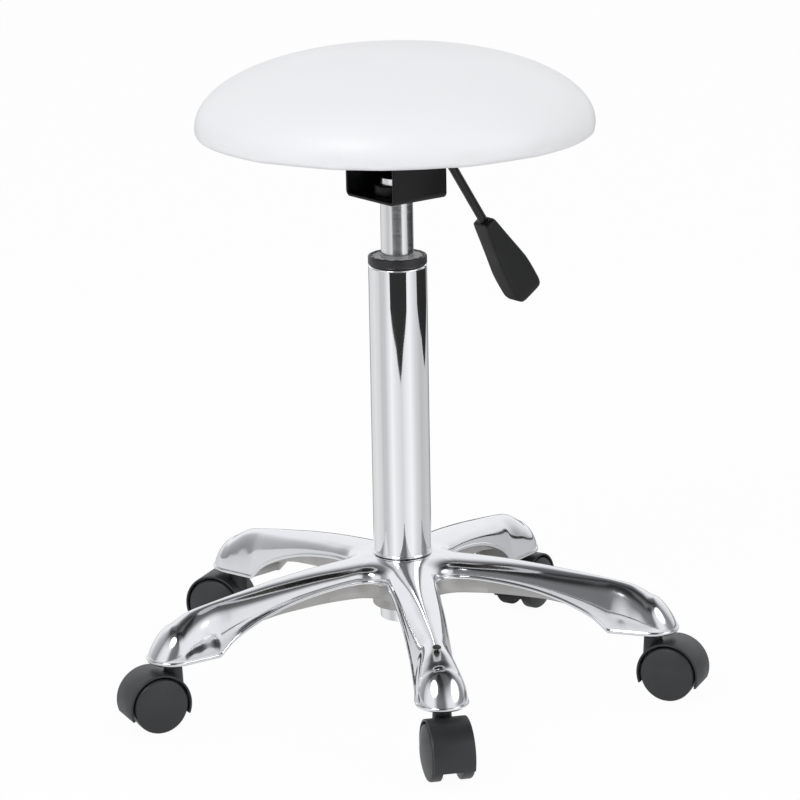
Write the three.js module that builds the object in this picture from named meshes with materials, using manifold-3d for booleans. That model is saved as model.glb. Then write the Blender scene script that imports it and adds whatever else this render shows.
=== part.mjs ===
// Dentist stool: a domed round seat on a gas-lift column, a five-arm cast star base and
// twin-wheel casters. Millimetres, +Z up. The floor is z = 0.
//
// Heights stack from the floor: wheel, caster hood, arm toe, hub, column, collar, channel, seat.
// Every piece that fits another takes its size from the same named value plus a clearance.

import * as THREE from 'three';
import { mergeVertices } from 'three/addons/utils/BufferGeometryUtils.js';
import Module from 'manifold-3d';

const wasm = await Module();
wasm.setup();

// ---- general clearances ----
const gap = 0.3;                  // face to face, between pieces that touch
const runningGap = 0.3;           // around shafts that turn or slide

// ---- casters ----
const armCount = 5;
const stemCircleRadius = 218;     // column axis to caster stem
const wheelRadius = 24;
const wheelFacets = 20;
const treadInner = 8.4;           // axle direction, from the caster's middle plane
const treadOuter = 17.5;
const wheelDome = 22;             // outermost point of the domed wheel face
const axleRadius = 3;
const axleHalfLength = 18.8;
const trail = 18;                 // stem axis to axle
const hoodClearance = 1.6;
const hoodWall = 2;
const hoodHalfLength = 17.5;
const hoodHalfAngle = 110;        // degrees each side of straight up
const webHalfThickness = 7.9;
const webRadius = 18;
const neckRadius = 7.6;
const stemRadius = 5.5;
const stemLength = 22;            // length inside the arm
const stemSeatDepth = 12;         // length inside the housing
const sleeveWall = 1.4;
const toeGap = 6.7;               // hood top to the arm's toe rim
const trailAngles = [-85.35, -30.35, 50.15, 149.15, 197.35];

// ---- star base ----
const firstArmAngle = -90;
const hubRise = 62;               // toe rim to hub top
const bossDrop = 46;              // hub top to the boss's lower face
const bossRadius = 26.5;
const hubLipRadius = 26.2;
const toeHalfWidth = 21;
const webWall = 3.6;
const capRecess = 4.6;            // polished cap edge to the web wall behind it
const plugRadius = 3.6;
const plugDepth = 5;
const plugInset = 23;             // plug centre, inward of the stem axis

// ---- column ----
const tubeRadius = 25;
const tubeWall = 3;
const tubeHeight = 256;           // hub top to tube top
const neckTopRadius = 21.4;       // tapered end, where it enters the hub
const neckBottomRadius = 20;
const neckLength = 58;
const neckWall = 3;
const columnFloor = 4;            // thickness of the tube's closed end
const bushingLength = 68;
const ringHeight = 7.7;
const ringRadius = 25.2;
const ringBore = 18.6;
const ringNotches = 20;
const ringNotchWidth = 1.8;
const ringNotchDepth = 1.3;

// ---- gas spring ----
const cylinderRadius = 14;
const cylinderWall = 2.1;
const cylinderEnd = 10;           // lower plug
const cylinderHead = 27;          // solid head that holds the valve
const cylinderTaper = 0.6;
const rodRadius = 5;
const pistonHeight = 10;
const stroke = 190;
const strokeMargin = 5;
const ballRadius = 3;
const ballCount = 8;
const ballCircle = 11;
const bearingOuter = 15.4;
const washerHeight = 2.6;
const bumperHeight = 19;
const bumperRadius = 11.5;
const rodTail = 5;                // below the column's closed end
const clipHeight = 2;
const clipRadius = 9;
const valveRadius = 3;
const valveTravel = 3;

// ---- seat carrier ----
const cylinderShow = 50;          // collar top to channel underside, seat lowered
const channelAngle = 30.15;       // degrees, channel's long direction
const channelWidth = 66;
const channelLength = 57;
const channelHeight = 52.5;
const channelWall = 2.5;
const channelCorner = 5;
const socketRadius = 19;
const socketHeight = 9.4;
const socketInset = 18;           // cylinder top above the channel's underside
const plateSize = 150;
const plateThickness = 3;
const boltSpacing = 112;
const boltRadius = 3;
const boltHeadRadius = 5.5;
const boltHeadHeight = 3.6;
const boltGrip = 11;

// ---- lever ----
const leverRadius = 4;
const leverRise = 28;             // channel underside to lever axis
const leverInner = 6;             // beyond the valve
const leverStub = 54;             // column axis to the bend
const leverBend = 9;              // bend radius
const leverDrop = 57;             // degrees below horizontal
const leverStraight = 75;
const leverSeat = 16;             // rod inside the paddle
const paddleLength = 86;
const paddleNarrow = 12;
const paddleWide = 30;
const paddleThickness = 22;

// ---- cushion ----
const seatRadius = 170;
const seatRise = 66;              // equator to crown
const seatDrop = 7.5;             // equator to the cover's lower face
const seatTuck = 14;              // plan size of the lower rounding
const coverThickness = 1.6;
const coverHem = 30;              // hem turned in beneath the board
const boardThickness = 12;
const boardRadius = 156;

// ---- derived heights ----
const axleHeight = wheelRadius * Math.cos(Math.PI / wheelFacets);
const hoodOuter = wheelRadius + hoodClearance + hoodWall;
const toeHeight = axleHeight + hoodOuter + toeGap;
const hubTop = toeHeight + hubRise;
const bossBottom = hubTop - bossDrop;
const neckBottom = hubTop - neckLength;
const tubeTop = hubTop + tubeHeight;
const ringTop = tubeTop + gap + ringHeight;
const bearingBottom = neckBottom + columnFloor + gap;
const washerBottom = bearingBottom + 2 * ballRadius + gap;
const bumperBottom = washerBottom + washerHeight + gap;
const cylinderBottom = bumperBottom + bumperHeight + gap;
const channelBottom = ringTop + cylinderShow;
const channelTop = channelBottom + channelHeight;
const cylinderTop = channelBottom + socketInset;
const leverHeight = channelBottom + leverRise;
const plateBottom = channelTop + gap;
const boardBottom = plateBottom + plateThickness + gap;
const equator = boardBottom - gap + seatDrop - coverThickness;
const axisOffset = stemCircleRadius * (1 - Math.cos(Math.PI / armCount)) / 2 - 1.8;
const innerTube = tubeRadius - tubeWall;

const degrees = Math.PI / 180;
const stool = new THREE.Group();

// ---------------------------------------------------------------- helpers

// A closed mesh with merged vertices, no empty faces and its faces pointing out.
function closed(geometry) {
  const bare = geometry.clone();
  for (const name of Object.keys(bare.attributes)) {
    if (name !== 'position') bare.deleteAttribute(name);
  }
  const merged = mergeVertices(bare, 1e-4);
  const position = merged.attributes.position;
  const index = merged.index.array;
  const kept = [];
  let volume = 0;
  const a = new THREE.Vector3();
  const b = new THREE.Vector3();
  const c = new THREE.Vector3();
  for (let i = 0; i < index.length; i += 3) {
    const [p, q, r] = [index[i], index[i + 1], index[i + 2]];
    if (p === q || q === r || r === p) continue;
    kept.push(p, q, r);
    a.fromBufferAttribute(position, p);
    b.fromBufferAttribute(position, q);
    c.fromBufferAttribute(position, r);
    volume += a.dot(b.cross(c));
  }
  if (volume < 0) kept.reverse();
  merged.setIndex(kept);
  return merged;
}

function solid(geometry) {
  const source = closed(geometry);
  return new wasm.Manifold(new wasm.Mesh({
    numProp: 3,
    vertProperties: Float32Array.from(source.attributes.position.array),
    triVerts: Uint32Array.from(source.index.array),
  }));
}

function shape(body) {
  const mesh = body.getMesh();
  const geometry = new THREE.BufferGeometry();
  geometry.setAttribute('position', new THREE.BufferAttribute(Float32Array.from(mesh.vertProperties), 3));
  geometry.setIndex(Array.from(mesh.triVerts));
  return geometry;
}

// Radius of a polygon with that many sides that clears a shaft all round.
function boreRadius(shaft, clearance, sides) {
  return (shaft + clearance) / Math.cos(Math.PI / sides);
}

// A profile of [radius, height] pairs turned about Z.
function turned(profile, sides, start = 0) {
  const points = profile.map(([r, z]) => new THREE.Vector2(r, z));
  const first = points[0];
  const last = points[points.length - 1];
  if (first.x > 0 || last.x > 0) points.push(first.clone());
  const geometry = new THREE.LatheGeometry(points, sides, start);
  geometry.rotateX(Math.PI / 2);
  return closed(geometry);
}

// An upright cylinder from one height to another.
function post(radius, low, high, sides, x = 0, y = 0) {
  const geometry = new THREE.CylinderGeometry(radius, radius, high - low, sides);
  geometry.rotateX(Math.PI / 2);
  geometry.translate(x, y, (low + high) / 2);
  return geometry;
}

function block(x0, x1, y0, y1, z0, z1) {
  const geometry = new THREE.BoxGeometry(x1 - x0, y1 - y0, z1 - z0);
  geometry.translate((x0 + x1) / 2, (y0 + y1) / 2, (z0 + z1) / 2);
  return geometry;
}

// Skin over a row of sections, each a loop of the same number of points, capped at both ends.
function lofted(sections) {
  const count = sections[0].length;
  const positions = [];
  for (const loop of sections) {
    for (const point of loop) positions.push(point[0], point[1], point[2]);
  }
  const index = [];
  for (let s = 0; s < sections.length - 1; s += 1) {
    for (let i = 0; i < count; i += 1) {
      const p = s * count + i;
      const q = s * count + (i + 1) % count;
      index.push(p, q, q + count, p, q + count, p + count);
    }
  }
  for (const [s, flip] of [[0, true], [sections.length - 1, false]]) {
    const outline = sections[s].map(([, y, z]) => new THREE.Vector2(y, z));
    for (const [i, j, k] of THREE.ShapeUtils.triangulateShape(outline, [])) {
      const face = flip ? [k, j, i] : [i, j, k];
      index.push(...face.map((n) => s * count + n));
    }
  }
  const geometry = new THREE.BufferGeometry();
  geometry.setAttribute('position', new THREE.Float32BufferAttribute(positions, 3));
  geometry.setIndex(index);
  return closed(geometry);
}

// Straight-line reading of a table of [place, value] pairs.
function reading(table, place) {
  for (let i = 1; i < table.length; i += 1) {
    const [p0, v0] = table[i - 1];
    const [p1, v1] = table[i];
    if (place <= p1) return v0 + (v1 - v0) * Math.max(0, place - p0) / (p1 - p0);
  }
  return table[table.length - 1][1];
}

function add(name, geometry, look) {
  const placed = geometry.clone();
  placed.translate(0, axisOffset, 0);
  placed.computeVertexNormals();
  const mesh = new THREE.Mesh(placed, new THREE.MeshStandardMaterial(look));
  mesh.name = name;
  stool.add(mesh);
}

// Colours and finishes of the pieces.
const polished = { color: 0xc9ccd0, roughness: 0.12, metalness: 1 };
const chrome = { color: 0xd6d9dd, roughness: 0.05, metalness: 1 };
const satinSteel = { color: 0xc4c6c8, roughness: 0.28, metalness: 1 };
const blackPlastic = { color: 0x2b2c2f, roughness: 0.5, metalness: 0 };
const blackPaint = { color: 0x1a1b1d, roughness: 0.38, metalness: 0.2 };
const greyPlastic = { color: 0xaeb0b2, roughness: 0.5, metalness: 0 };
const blackRubber = { color: 0x161616, roughness: 0.85, metalness: 0 };
const plywood = { color: 0xb98f5e, roughness: 0.7, metalness: 0 };
const foamLook = { color: 0xe8ddb8, roughness: 0.95, metalness: 0 };
const vinyl = { color: 0xf0f0f4, roughness: 0.45, metalness: 0 };

// ---------------------------------------------------------------- star base

// The arm lies along +X. Inner stations are shares of the span, toe stations offsets from the stem.
const span = stemCircleRadius - 38;
const inner = (share) => span * share;
const toe = (offset) => stemCircleRadius + offset;
const crownHeights = [
  [inner(0.05), 61.6], [inner(0.28), 61], [inner(0.47), 59], [inner(0.67), 54.5], [inner(0.8), 50],
  [inner(0.94), 45.5], [toe(-33), 43.5], [toe(-18), 39.5], [toe(-8), 34.5], [toe(-1), 30],
  [toe(6), 24.5], [toe(12), 16.5], [toe(16.5), 8], [toe(19.2), 3.4], [toe(20.6), 2],
];
const edgeHeights = [
  [inner(0.05), 49], [inner(0.28), 49], [inner(0.47), 45], [inner(0.61), 40], [inner(0.75), 32],
  [inner(0.86), 23], [inner(0.935), 15], [toe(-43), 8], [toe(-36), 0], [toe(21), 0],
];
const halfWidths = [
  [inner(0.05), 20.5], [inner(0.28), 20.5], [inner(0.47), 19], [inner(0.67), 18], [toe(-38), 16.4],
  [toe(-18), 18.6], [toe(0), toeHalfWidth],
];
const webHeights = [
  [inner(0.05), 30], [inner(0.36), 31.5], [inner(0.67), 28], [inner(0.94), 17], [toe(-36), 13],
];
const stations = [
  inner(0.05), inner(0.28), inner(0.47), inner(0.61), inner(0.75), inner(0.86), inner(0.94),
  toe(-43), toe(-36), toe(-27), toe(-18), toe(-8), toe(0), toe(6), toe(12), toe(16.5), toe(19.2), toe(20.6),
];

function halfWidth(place) {
  if (place <= stemCircleRadius) return reading(halfWidths, place);
  const past = (place - stemCircleRadius) / toeHalfWidth;
  return toeHalfWidth * Math.sqrt(Math.max(0.0025, 1 - past * past));
}

function armCap() {
  const turns = 7;
  const sections = stations.map((place) => {
    const wide = halfWidth(place);
    const low = toeHeight + reading(edgeHeights, place);
    const high = toeHeight + reading(crownHeights, place);
    const loop = [];
    for (let i = 0; i <= turns; i += 1) {
      const angle = Math.PI * i / turns;
      const rise = Math.pow(Math.sin(angle), 0.72);
      loop.push([place, wide * Math.cos(angle), low + (high - low) * rise]);
    }
    return loop;
  });
  return solid(lofted(sections));
}

function bar(places, inset, low, high) {
  const sections = places.map((place) => {
    const wide = halfWidth(place) - inset;
    return [
      [place, wide, low(place)],
      [place, wide, high(place)],
      [place, -wide, high(place)],
      [place, -wide, low(place)],
    ];
  });
  return solid(lofted(sections));
}

const webStations = [inner(0.05), inner(0.36), inner(0.67), inner(0.86), toe(-41)];
const webLow = (place) => toeHeight + reading(webHeights, place);
const webHigh = (place) => toeHeight + reading(crownHeights, place) - 9;
const hollowStations = [inner(0.19), inner(0.36), inner(0.67), inner(0.86), toe(-47)];
const hollowLow = () => toeHeight - 5;
const hollowHigh = (place) => toeHeight + reading(crownHeights, place) - 8;
const sleeveRadius = boreRadius(stemRadius, runningGap, 12) + sleeveWall;
const stemTop = toeHeight + stemLength;
const armSolid = armCap().add(bar(webStations, capRecess, webLow, webHigh));
const armHollow = bar(hollowStations, capRecess + webWall, hollowLow, hollowHigh);
const armBore = solid(post(boreRadius(sleeveRadius, gap, 12), toeHeight - 5, stemTop + 2, 12, stemCircleRadius));

let star = solid(turned([
  [14, hubTop], [hubLipRadius, hubTop], [hubLipRadius + 2, hubTop - 1.6], [38, hubTop - 3.4],
  [45.5, hubTop - 6.5], [48, hubTop - 10], [48, hubTop - 13], [44, hubTop - 14],
  [32, hubTop - 17], [bossRadius, hubTop - 24], [bossRadius, bossBottom], [14, bossBottom],
], 30));
for (let k = 0; k < armCount; k += 1) {
  star = star.add(armSolid.rotate([0, 0, firstArmAngle + 360 * k / armCount]));
}
for (let k = 0; k < armCount; k += 1) {
  const turn = [0, 0, firstArmAngle + 360 * k / armCount];
  star = star.subtract(armHollow.rotate(turn)).subtract(armBore.rotate(turn));
}
const neckSides = 28;
const taperAt = (z) => neckBottomRadius + (neckTopRadius - neckBottomRadius) * (z - neckBottom) / neckLength;
star = star.subtract(solid(turned([
  [0, hubTop + 3], [boreRadius(taperAt(hubTop + 3), gap, neckSides), hubTop + 3],
  [boreRadius(taperAt(bossBottom - 3), gap, neckSides), bossBottom - 3], [0, bossBottom - 3],
], neckSides)));

// A plug closes a small hole in the crown of the first arm, square to the crown's slope.
const plugPlace = stemCircleRadius - plugInset;
const plugSlope = Math.atan2(
  reading(crownHeights, plugPlace - 4) - reading(crownHeights, plugPlace + 4), 8);
function onCrown(geometry) {
  const placed = geometry.clone();
  placed.rotateY(plugSlope);
  placed.translate(plugPlace, 0, toeHeight + reading(crownHeights, plugPlace));
  placed.rotateZ(firstArmAngle * degrees);
  return placed;
}
star = star.subtract(solid(onCrown(post(boreRadius(plugRadius, gap, 16), -plugDepth - gap, 6, 16))));
add('base_star', shape(star), polished);
add('arm_plug', onCrown(post(plugRadius, -plugDepth, 0.4, 16)), blackPlastic);

// ---------------------------------------------------------------- column

const shoulder = hubTop + gap;
add('column_tube', turned([
  [rodRadius + 2 * runningGap, neckBottom], [neckBottomRadius - 1, neckBottom],
  [neckBottomRadius, neckBottom + 1], [neckTopRadius, hubTop], [neckTopRadius, shoulder],
  [tubeRadius, shoulder], [tubeRadius, tubeTop - 1.2], [tubeRadius - 1.2, tubeTop],
  [innerTube, tubeTop], [innerTube, shoulder + 6], [neckTopRadius - neckWall, shoulder],
  [neckBottomRadius - neckWall, neckBottom + columnFloor + 1],
  [neckBottomRadius - neckWall, neckBottom + columnFloor],
  [rodRadius + 2 * runningGap, neckBottom + columnFloor],
], neckSides), chrome);

const bushingSides = 28;
const bushingBore = boreRadius(cylinderRadius, runningGap, bushingSides);
add('guide_bushing', turned([
  [bushingBore, tubeTop - bushingLength], [innerTube - gap - 0.2, tubeTop - bushingLength],
  [innerTube - gap - 0.2, tubeTop], [ringBore - 0.5, tubeTop + gap],
  [ringBore - 0.5, ringTop - 1], [bushingBore, ringTop - 0.4],
], bushingSides), greyPlastic);

let ring = solid(turned([
  [ringBore, tubeTop + gap], [ringRadius - 0.6, tubeTop + gap], [ringRadius, tubeTop + 1.4],
  [ringRadius, ringTop - 1.2], [ringRadius - 1.2, ringTop], [ringBore + 0.8, ringTop],
  [ringBore, ringTop - 1],
], 30));
for (let k = 0; k < ringNotches; k += 1) {
  const notch = block(
    ringRadius - ringNotchDepth, ringRadius + 3, -ringNotchWidth / 2, ringNotchWidth / 2,
    ringTop - 5.2, ringTop - 2.6);
  notch.rotateZ((k + 0.5) * 2 * Math.PI / ringNotches);
  ring = ring.subtract(solid(notch));
}
add('collar_ring', shape(ring), blackPlastic);

// ---------------------------------------------------------------- gas spring

// Thrust bearing: balls held in a thin cage, resting on the tube's closed end.
const rodBore = boreRadius(rodRadius, runningGap, 16);
let bearing = solid(turned([
  [rodBore, bearingBottom + ballRadius - 1], [bearingOuter, bearingBottom + ballRadius - 1],
  [bearingOuter, bearingBottom + ballRadius + 1], [rodBore, bearingBottom + ballRadius + 1],
], 16));
for (let k = 0; k < ballCount; k += 1) {
  const angle = 2 * Math.PI * (k + 0.5) / ballCount;
  const ball = new THREE.SphereGeometry(ballRadius, 6, 4);
  ball.rotateX(Math.PI / 2);
  ball.translate(ballCircle * Math.cos(angle), ballCircle * Math.sin(angle), bearingBottom + ballRadius);
  bearing = bearing.add(solid(ball));
}
add('thrust_bearing', shape(bearing), satinSteel);

add('bearing_washer', turned([
  [rodBore, washerBottom], [bearingOuter, washerBottom],
  [bearingOuter, washerBottom + washerHeight], [rodBore, washerBottom + washerHeight],
], 24), satinSteel);

add('rubber_bumper', turned([
  [rodBore, bumperBottom], [bumperRadius, bumperBottom], [bumperRadius - 1.5, bumperBottom + bumperHeight / 2],
  [bumperRadius, bumperBottom + bumperHeight], [rodBore, bumperBottom + bumperHeight],
], 16), blackRubber);

// The clip sits in a groove just below the tube's closed end.
const clipTop = neckBottom - gap;
const groove = rodRadius - 1.2;
const pistonBottom = cylinderBottom + cylinderEnd + stroke + strokeMargin;
const pistonSeat = rodRadius - 1.6;
add('piston_rod', turned([
  [0, neckBottom - rodTail], [rodRadius, neckBottom - rodTail], [rodRadius, clipTop - clipHeight - gap],
  [groove, clipTop - clipHeight - gap], [groove, clipTop + 0.1], [rodRadius, clipTop + 0.1],
  [rodRadius, pistonBottom - gap], [pistonSeat, pistonBottom - gap],
  [pistonSeat, pistonBottom + pistonHeight], [0, pistonBottom + pistonHeight],
], 16), satinSteel);

const clipBore = boreRadius(groove, gap, 16);
add('retaining_clip', turned([
  [clipBore, clipTop - clipHeight], [clipRadius, clipTop - clipHeight], [clipRadius, clipTop],
  [clipBore, clipTop],
], 16), satinSteel);

const cylinderBore = cylinderRadius - cylinderWall;
const pistonBore = boreRadius(pistonSeat, gap, 16);
add('piston', turned([
  [pistonBore, pistonBottom], [cylinderBore - 0.5, pistonBottom],
  [cylinderBore - 0.5, pistonBottom + pistonHeight], [pistonBore, pistonBottom + pistonHeight],
], 24), satinSteel);

const valveBore = boreRadius(valveRadius, runningGap, 16);
const cylinderSides = bushingSides;
add('gas_cylinder', turned([
  [rodBore, cylinderBottom], [cylinderRadius - 1, cylinderBottom], [cylinderRadius, cylinderBottom + 1],
  [cylinderRadius, channelBottom], [cylinderRadius - cylinderTaper, cylinderTop - 1],
  [cylinderRadius - cylinderTaper - 1, cylinderTop], [valveBore, cylinderTop],
  [valveBore, cylinderTop - cylinderHead], [cylinderBore, cylinderTop - cylinderHead - 2],
  [cylinderBore, cylinderBottom + cylinderEnd], [rodBore, cylinderBottom + cylinderEnd],
], cylinderSides), satinSteel);

const valveTop = leverHeight - leverRadius - gap;
add('valve_pin', turned([
  [0, cylinderTop - cylinderHead + 1], [valveRadius, cylinderTop - cylinderHead + 1],
  [valveRadius, valveTop - 0.8], [valveRadius - 0.8, valveTop], [0, valveTop],
], 16), greyPlastic);

// ---------------------------------------------------------------- seat carrier

// Channel frame: x along the channel, open at -x, end wall at +x.
const intoChannel = (geometry) => geometry.clone().rotateZ(channelAngle * degrees);

function channelSection(half, low, high, corner) {
  const outline = new THREE.Shape();
  outline.moveTo(-half, high);
  outline.lineTo(-half, low + corner);
  outline.absarc(-half + corner, low + corner, corner, Math.PI, 1.5 * Math.PI, false);
  outline.lineTo(half - corner, low);
  outline.absarc(half - corner, low + corner, corner, 1.5 * Math.PI, 2 * Math.PI, false);
  outline.lineTo(half, high);
  outline.closePath();
  return outline;
}

// Extrudes a section drawn across the channel (y, z) from one x to another.
function alongChannel(outline, from, to, curveSegments = 4) {
  const geometry = new THREE.ExtrudeGeometry(outline, { depth: to - from, bevelEnabled: false, curveSegments });
  geometry.applyMatrix4(new THREE.Matrix4().set(0, 0, 1, from, 1, 0, 0, 0, 0, 1, 0, 0, 0, 0, 0, 1));
  return geometry;
}

const halfChannel = channelWidth / 2;
const channelEnd = channelLength / 2;
let channel = solid(alongChannel(
  channelSection(halfChannel, channelBottom, channelTop, channelCorner), -channelEnd, channelEnd));
channel = channel.subtract(solid(alongChannel(
  channelSection(halfChannel - channelWall, channelBottom + channelWall, channelTop + 5,
    channelCorner - channelWall), -channelEnd - 5, channelEnd - channelWall)));
const leverHole = post(boreRadius(leverRadius, 2 * runningGap, 16), -8, 8, 16);
leverHole.rotateY(Math.PI / 2);
leverHole.translate(channelEnd, 0, leverHeight);
channel = channel.subtract(solid(leverHole));
channel = channel.subtract(solid(post(
  boreRadius(cylinderRadius, runningGap, cylinderSides), channelBottom - 5, channelBottom + 10, cylinderSides)));
add('seat_channel', intoChannel(shape(channel)), blackPaint);

const socketBottom = channelBottom + channelWall + gap;
const taperRadius = (z) => cylinderRadius - cylinderTaper * (z - channelBottom) / (socketInset - 1);
add('taper_socket', turned([
  [boreRadius(taperRadius(socketBottom), gap, 32), socketBottom], [socketRadius, socketBottom],
  [socketRadius, socketBottom + socketHeight - 1], [socketRadius - 1, socketBottom + socketHeight],
  [boreRadius(taperRadius(socketBottom + socketHeight), gap, 32), socketBottom + socketHeight],
], 32), blackPaint);

const halfPlate = plateSize / 2;
const halfBolts = boltSpacing / 2;
const boltPlaces = [[1, 1], [-1, 1], [-1, -1], [1, -1]].map(([x, y]) => [x * halfBolts, y * halfBolts]);
const boltHoleRadius = boreRadius(boltRadius, gap, 12);
const boltTop = boardBottom + boltGrip;
let plate = solid(block(-halfPlate, halfPlate, -halfPlate, halfPlate, plateBottom, plateBottom + plateThickness));
let board = solid(post(boardRadius, boardBottom, boardBottom + boardThickness, 32));
for (const [x, y] of boltPlaces) {
  plate = plate.subtract(solid(post(boltHoleRadius, plateBottom - 3, plateBottom + plateThickness + 3, 12, x, y)));
}
const boardHoles = boltPlaces.map(([x, y]) => new THREE.Vector2(x, y)
  .rotateAround(new THREE.Vector2(0, 0), channelAngle * degrees));
for (const place of boardHoles) {
  board = board.subtract(solid(post(boltHoleRadius, boardBottom - 3, boltTop + gap, 12, place.x, place.y)));
}
add('top_plate', intoChannel(shape(plate)), blackPaint);
boltPlaces.forEach(([x, y], i) => {
  const bolt = turned([
    [0, plateBottom - gap - boltHeadHeight], [boltHeadRadius, plateBottom - gap - boltHeadHeight],
    [boltHeadRadius, plateBottom - gap], [boltRadius, plateBottom - gap], [boltRadius, boltTop],
    [0, boltTop],
  ], 12);
  bolt.translate(x, y, 0);
  add(`seat_bolt_${i + 1}`, intoChannel(bolt), satinSteel);
});

// ---------------------------------------------------------------- lever

// The rod runs level through the end wall, bends down and ends inside the paddle.
const drop = leverDrop * degrees;
const bendReach = leverBend * Math.tan(drop / 2);
const bendStart = leverStub - bendReach;
const down = new THREE.Vector3(Math.cos(drop), 0, -Math.sin(drop));
const bendPoint = new THREE.Vector3(leverStub, 0, leverHeight);
const rodEnd = bendPoint.clone().addScaledVector(down, leverStraight + leverSeat);
const rodPath = new THREE.CurvePath();
rodPath.add(new THREE.LineCurve3(
  new THREE.Vector3(-leverInner, 0, leverHeight), new THREE.Vector3(bendStart, 0, leverHeight)));
rodPath.add(new THREE.QuadraticBezierCurve3(
  new THREE.Vector3(bendStart, 0, leverHeight), bendPoint,
  bendPoint.clone().addScaledVector(down, bendReach)));
rodPath.add(new THREE.LineCurve3(bendPoint.clone().addScaledVector(down, bendReach), rodEnd));

// Round loops set square to the path, at the ends and around the bend.
function rodSections(path, radius, sides, places) {
  return places.map((place) => {
    const centre = path.getPointAt(place);
    const ahead = path.getTangentAt(place);
    const side = new THREE.Vector3(0, 1, 0);
    const up = new THREE.Vector3().crossVectors(ahead, side);
    const loop = [];
    for (let i = 0; i < sides; i += 1) {
      const angle = 2 * Math.PI * i / sides;
      const point = centre.clone().addScaledVector(side, radius * Math.cos(angle));
      point.addScaledVector(up, radius * Math.sin(angle));
      loop.push([point.x, point.y, point.z]);
    }
    return loop;
  });
}
const rodLength = rodPath.getLength();
const bendFrom = (bendStart + leverInner) / rodLength;
const bendTo = 1 - (leverStraight + leverSeat - bendReach) / rodLength;
const rodPlaces = [0, bendFrom - 0.002];
for (let i = 1; i <= 5; i += 1) rodPlaces.push(bendFrom + (bendTo - bendFrom) * i / 6);
rodPlaces.push(bendTo + 0.002, 1);
add('lever_rod', intoChannel(lofted(rodSections(rodPath, leverRadius, 12, rodPlaces))), blackPaint);

// Paddle frame: x along the rod's slope, y across its broad face, z its thickness.
const halfNarrow = paddleNarrow / 2;
const halfWide = paddleWide / 2;
const paddleOutline = new THREE.Shape();
paddleOutline.moveTo(0, -halfNarrow + 2.5);
paddleOutline.quadraticCurveTo(0, -halfNarrow, 2.5, -halfNarrow);
paddleOutline.lineTo(44, -halfWide + 1.8);
paddleOutline.quadraticCurveTo(52, -halfWide, 64, -halfWide);
paddleOutline.lineTo(paddleLength - 11, -halfWide);
paddleOutline.quadraticCurveTo(paddleLength - 1, -halfWide + 1, paddleLength - 0.5, -halfWide + 11);
paddleOutline.quadraticCurveTo(paddleLength + 0.5, 0, paddleLength - 1, halfWide - 9);
paddleOutline.quadraticCurveTo(paddleLength - 3, halfWide, paddleLength - 13, halfWide);
paddleOutline.lineTo(64, halfWide);
paddleOutline.quadraticCurveTo(52, halfWide, 44, halfWide - 1.8);
paddleOutline.lineTo(2.5, halfNarrow);
paddleOutline.quadraticCurveTo(0, halfNarrow, 0, halfNarrow - 2.5);
const paddleBevel = 3;
const paddleBody = new THREE.ExtrudeGeometry(paddleOutline, {
  depth: paddleThickness - 2 * paddleBevel,
  bevelEnabled: true,
  bevelThickness: paddleBevel,
  bevelSize: paddleBevel * 0.6,
  bevelOffset: -paddleBevel * 0.6,
  bevelSegments: 2,
  curveSegments: 4,
});
paddleBody.translate(0, 0, paddleBevel - paddleThickness / 2);
const rodSocket = post(boreRadius(leverRadius, gap, 12), -5, leverSeat + gap, 12);
rodSocket.rotateY(Math.PI / 2);
const paddle = solid(paddleBody).subtract(solid(rodSocket));
const paddleStart = bendPoint.clone().addScaledVector(down, leverStraight);
const paddleTurn = new THREE.Matrix4().makeBasis(
  down, new THREE.Vector3(Math.sin(drop), 0, Math.cos(drop)), new THREE.Vector3(0, -1, 0));
paddleTurn.setPosition(paddleStart);
add('lever_paddle', intoChannel(shape(paddle).applyMatrix4(paddleTurn)), blackPlastic);

// ---------------------------------------------------------------- cushion

const cushionSides = 32;
const cushionSteps = 8;
const coverProfile = (inset, steps) => {
  const points = [];
  for (let i = 0; i <= steps; i += 1) {
    const angle = 0.5 * Math.PI * (1 - i / steps);
    points.push([(seatRadius - inset) * Math.cos(angle), equator + (seatRise - inset) * Math.sin(angle)]);
  }
  points[0][0] = 0;
  return points;
};
const tuckPoints = (inset) => [0.5, 1].map((share) => {
  const angle = 0.5 * Math.PI * share;
  return [
    seatRadius - seatTuck + (seatTuck - inset) * Math.cos(angle),
    equator - (seatDrop - inset) * Math.sin(angle),
  ];
});
const hemRadius = boardRadius - coverHem;
const outerSkin = [...coverProfile(0, cushionSteps), ...tuckPoints(0), [hemRadius, equator - seatDrop]];
const innerSkin = [...coverProfile(coverThickness, cushionSteps), ...tuckPoints(coverThickness),
  [hemRadius, equator - seatDrop + coverThickness]];
add('seat_cover', turned([...outerSkin, ...innerSkin.reverse()], cushionSides), vinyl);

const foamInset = coverThickness + gap;
const boardTop = boardBottom + boardThickness;
const boardRecess = boreRadius(boardRadius, gap, cushionSides);
add('seat_foam', turned([
  ...coverProfile(foamInset, cushionSteps), ...tuckPoints(foamInset),
  [boardRecess, equator - seatDrop + foamInset], [boardRecess, boardTop + gap], [0, boardTop + gap],
], cushionSides), foamLook);
add('seat_board', shape(board), plywood);

// ---------------------------------------------------------------- casters

// Caster frame: stem axis at x = 0, wheels trailing towards +x, axle along y.
function sector(innerRadius, outerRadius, halfAngle, from, to, segments) {
  const outline = new THREE.Shape();
  const a = (90 - halfAngle) * degrees;
  const b = (90 + halfAngle) * degrees;
  outline.absarc(0, 0, outerRadius, a, b, false);
  outline.absarc(0, 0, innerRadius, b, a, true);
  outline.closePath();
  const geometry = new THREE.ExtrudeGeometry(outline, {
    depth: to - from, bevelEnabled: false, curveSegments: segments,
  });
  geometry.rotateX(Math.PI / 2);
  geometry.translate(trail, to, axleHeight);
  return geometry;
}

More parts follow.
